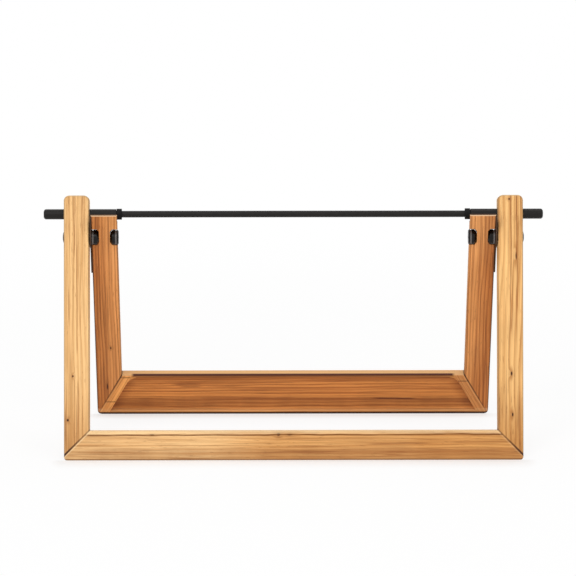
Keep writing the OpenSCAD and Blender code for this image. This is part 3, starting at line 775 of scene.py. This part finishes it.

# The pieces of wood. The legs have painted shadow on their tops, under the rod, and crisper edges than the
# rest
LEG_TOP_SHADOW = 0.95
LEG_SOFT_EDGE = 0.12
TIMBERS = {
    "front_left_post": Timber(
        PALE_HONEY, LEFT_POST, Growth(pith=(-55, 40), spacing=2.3, wander=9.0, depth=0.9, seed=1.0),
        Fade(across=(0.1, 0.0), along=(Ramp(low=0, high=65, start=0.75, end=0.0),)),
        POST_EDGES, FRONT_FOOT, top_highlight=0.3,
        mitre=FRONT_MITRE, seam=FRONT_SEAM, knots=LEFT_POST_KNOTS, stripes=LEFT_POST_STRIPES),
    "front_right_post": Timber(
        HONEY, RIGHT_POST, Growth(pith=(34, 50), spacing=2.0, wander=11.0, depth=1.0, seed=12.0),
        Fade(across=(0.0, 0.15), along=(Ramp(low=0, high=65, start=0.9, end=0.0),)),
        POST_EDGES, FRONT_FOOT, top_highlight=0.3,
        mitre=FRONT_MITRE, seam=FRONT_SEAM, knots=RIGHT_POST_KNOTS, stripes=RIGHT_POST_STRIPES),
    "front_rail": Timber(
        HONEY_RAIL, FRONT_RAIL, Growth(pith=(-60, 34), spacing=2.2, wander=10.0, depth=0.9, seed=23.0),
        Fade(along=(Ramp(low=95, high=170, start=0.0, end=0.65),
                    Ramp(low=263, high=286, start=0.0, end=0.1)), tint=RAIL_TINT),
        FRONT_RAIL_EDGES, FRONT_FOOT, top_highlight=0.5,
        mitre=FRONT_MITRE, seam=FRONT_SEAM, knots=FRONT_RAIL_KNOTS, stripes=RAIL_STRIPES),
    # The rear legs' darker outer sides, beside the front posts, are painted shade
    "rear_left_leg": Timber(
        AMBER, LEFT_LEG, Growth(pith=(50, 30), spacing=2.1, wander=9.0, depth=1.0, seed=34.0),
        Fade(across=(0.9, 0.0), along=(Ramp(low=0, high=60, start=0.25, end=0.0),
                                       Ramp(low=150, high=180, start=0.0, end=0.2))),
        LEG_EDGES, REAR_FOOT, top_highlight=0.9,
        mitre=REAR_MITRE, seam=REAR_SEAM, knots=LEFT_LEG_KNOTS, top_shadow=LEG_TOP_SHADOW, soft=LEG_SOFT_EDGE),
    "rear_right_leg": Timber(
        AMBER, RIGHT_LEG, Growth(pith=(-52, 34), spacing=2.2, wander=9.0, depth=1.0, seed=45.0),
        Fade(across=(0.0, 1.0), along=(Ramp(low=0, high=80, start=0.65, end=0.0),
                                       Ramp(low=140, high=180, start=0.0, end=-0.35))),
        LEG_EDGES, REAR_FOOT, top_highlight=0.9,
        mitre=REAR_MITRE, seam=REAR_SEAM, top_shadow=LEG_TOP_SHADOW, soft=LEG_SOFT_EDGE),
    "rear_rail": Timber(
        AMBER_RAIL, REAR_RAIL, Growth(pith=(-50, 44), spacing=2.0, wander=8.0, depth=0.85, seed=56.0),
        foot=REAR_FOOT, top_highlight=0.8,
        mitre=REAR_MITRE, seam=REAR_SEAM, stripes=PANEL_STRIPES, panel=REAR_PANEL, butts=BUTTS),
}
for node, timber in TIMBERS.items():
    dress(node, wood(node + "_wood", timber))
    soften(node, timber.soft)

# The splines inside the mitres
FIRST_SPLINE_SEED = 67.0
SPLINES = {"front_left_spline": FRONT_TILT, "front_right_spline": FRONT_TILT,
           "rear_left_spline": REAR_TILT, "rear_right_spline": REAR_TILT}
for number, (node, tilt) in enumerate(SPLINES.items()):
    growth = Growth(pith=(40, 20), spacing=3.0, wander=6.0, depth=0.8, seed=FIRST_SPLINE_SEED + number)
    dress(node, wood(node + "_wood", Timber(BARE, board_of(node, tilt, upright=False), growth)))

# Hardware, with the groove of each hub a little inside the leg's side
GROOVE_INSET = 1.2
HARDWARE_SOFT_EDGE = 0.15
SATIN = Finish(srgb(32, 30, 29), worn=srgb(44, 42, 40), rough=0.42, grain=0.9, relief=0.003, specular=0.14)
BROWN = Finish(srgb(72, 50, 34), worn=srgb(120, 92, 66), rough=0.42, grain=0.5, relief=0.008, specular=0.20)
GLOSS = Finish(srgb(13, 8, 5), worn=srgb(60, 58, 58), rough=0.20, grain=1.2, relief=0.006, specular=0.22)
RUBBER = Finish(srgb(16, 15, 15), worn=srgb(44, 42, 41), rough=0.70, grain=0.25, relief=0.03, specular=0.16)
NATURAL = Finish(srgb(222, 216, 202), worn=srgb(232, 228, 218), rough=0.42, grain=0.8, relief=0.01,
                 specular=0.4)
SATIN_BLACK = speckled("satin_black_steel", SATIN)
SATIN_BROWN = speckled("satin_brown_steel", BROWN)
BUSH_BLACK = speckled("gloss_black_acetal", GLOSS, ring_x=leg_high.x - GROOVE_INSET)
NUT_BLACK = speckled("gloss_black_steel", GLOSS, ring_x=leg_low.x + GROOVE_INSET)
BLACK_RUBBER = speckled("matte_black_rubber", RUBBER)
NYLON = speckled("natural_nylon", NATURAL)

HARDWARE = {"pivot_bolt": SATIN_BLACK, "pivot_nut": NUT_BLACK, "stop_plate": SATIN_BROWN,
            "plate_screws": SATIN_BLACK, "rod_sleeve": SATIN_BLACK, "pivot_bush": BUSH_BLACK,
            "rod_bush": NYLON, "stop_collar": BLACK_RUBBER}
for part, material in HARDWARE.items():
    for side in ("left", "right"):
        dress(side + "_" + part, material)
        soften(side + "_" + part, HARDWARE_SOFT_EDGE)
dress("spindle", SATIN_BLACK)

# Floor, world, light and camera
WHITE = (1, 1, 1, 1)
FLOOR_WHITE = srgb(250, 250, 250)
# The stronger shadow in front of a foot: the foot's front edge, the shadow's depth and its share
Contact = namedtuple("Contact", "front depth share")
# How far above the table a foot still counts as standing on it, and the soft side of its shadow
FOOT_BAND = 1 * MM
SHADOW_SIDE = 15 * MM
# The picture's width, and the camera's sensor and reach
PICTURE_PX = 576
SENSOR_MM = 36.0
CAMERA_REACH = 100


def seen_directly(graph):
    """1 for rays from the camera, in mirrors and through glass, and 0 for soft light."""
    path = graph.node("ShaderNodeLightPath", {}).outputs
    seen = graph.math("MAXIMUM", path["Is Camera Ray"], path["Is Glossy Ray"])
    return graph.math("MAXIMUM", seen, path["Is Transmission Ray"])


def foot_front(node):
    """How far forward a node reaches where it stands on the table."""
    return min(vertex.co.y for vertex in frame["nodes"][node].data.vertices if vertex.co.z < FOOT_BAND)


def make_floor(reach, half_width, shadow_share, shadow_near, shadow_far, contacts):
    """A white floor that keeps a share of the real light and shadow, most of it in front of the feet."""
    bpy.ops.mesh.primitive_plane_add(size=2 * reach)
    floor = bpy.context.object
    floor.name = "floor"
    graph = Graph("white_floor")
    place = graph.own("Object")
    x, y, _ = graph.split(place)
    shadow = graph.smooth(graph.length(place), shadow_near, shadow_far, shadow_share, 0.0)
    beside = graph.smooth(graph.math("ABSOLUTE", x), half_width + SHADOW_SIDE, half_width)
    for contact in contacts:
        reached = graph.smooth(y, contact.front - contact.depth, contact.front, 0.0, contact.share)
        ahead = graph.math("LESS_THAN", y, contact.front)
        shadow = graph.math("MAXIMUM", shadow, graph.product(reached, ahead, beside))
    white = graph.math("SUBTRACT", 1.0, shadow)
    matt = graph.node("ShaderNodeBsdfDiffuse", {"Color": FLOOR_WHITE})
    glow = graph.node("ShaderNodeEmission", {"Color": WHITE, "Strength": 1.0})
    factor = graph.math("MULTIPLY", white, seen_directly(graph))
    both = graph.node("ShaderNodeMixShader", {0: factor, 1: matt.outputs[0], 2: glow.outputs[0]})
    graph.node("ShaderNodeOutputMaterial", {0: both.outputs[0]})
    floor.data.materials.append(graph.material)


class WorldGraph(Graph):
    """The world's node tree, with the same calls as a material's."""

    def __init__(self, name):
        world = bpy.data.worlds.new(name)
        world.use_nodes = True
        bpy.context.scene.world = world
        self.tree = world.node_tree
        self.tree.nodes.clear()


def make_world(level):
    """Even soft light, with a white surround for the camera and for reflections."""
    graph = WorldGraph("studio")
    soft = graph.node("ShaderNodeBackground", {"Color": WHITE, "Strength": level})
    white = graph.node("ShaderNodeBackground", {"Color": WHITE, "Strength": 1.0})
    inputs = {0: seen_directly(graph), 1: soft.outputs[0], 2: white.outputs[0]}
    both = graph.node("ShaderNodeMixShader", inputs)
    graph.node("ShaderNodeOutputWorld", {0: both.outputs[0]})


def make_lamp(name, place, aim, size, power):
    """A round soft lamp, aimed at a point."""
    lamp = bpy.data.lights.new(name, "AREA")
    lamp.shape = "DISK"
    lamp.size = size
    lamp.energy = power
    holder = bpy.data.objects.new(name, lamp)
    bpy.context.scene.collection.objects.link(holder)
    holder.location = place
    holder.rotation_euler = (Vector(aim) - Vector(place)).to_track_quat("-Z", "Y").to_euler()


def make_camera(aim, pitch, yaw, distance, focal_px):
    """A long lens above the front, aimed down at the holder."""
    data = bpy.data.cameras.new("camera")
    data.sensor_width = SENSOR_MM
    data.lens = focal_px / PICTURE_PX * SENSOR_MM
    data.clip_end = CAMERA_REACH
    camera = bpy.data.objects.new("camera", data)
    bpy.context.scene.collection.objects.link(camera)
    forward = Vector((math.sin(yaw) * math.cos(pitch), math.cos(yaw) * math.cos(pitch), -math.sin(pitch)))
    camera.location = aim - forward * distance
    camera.rotation_euler = forward.to_track_quat("-Z", "Y").to_euler()
    bpy.context.scene.camera = camera


FRONT_CONTACT = Contact(foot_front("front_rail"), depth=26 * MM, share=0.9)
REAR_CONTACT = Contact(foot_front("rear_rail"), depth=18 * MM, share=0.5)
make_floor(reach=20.0, half_width=post_high.x * MM, shadow_share=0.14, shadow_near=0.28, shadow_far=0.6,
           contacts=(FRONT_CONTACT, REAR_CONTACT))
make_world(level=0.62)
make_lamp("key", place=(-0.9, -1.5, 1.7), aim=(0, 0, 0.08), size=1.3, power=16.0)
make_lamp("fill", place=(1.4, -1.2, 0.9), aim=(0, 0, 0.08), size=1.2, power=6.0)
make_lamp("top", place=(0.2, 0.5, 1.9), aim=(0, 0, 0.05), size=1.2, power=6.0)
make_camera(aim=Vector((-0.00426, 0, 0.12275)), pitch=math.radians(17.28), yaw=math.radians(0.30),
            distance=2.825, focal_px=3583)

scene = bpy.context.scene
scene.view_settings.view_transform = "Standard"

bpy.context.view_layer.update()
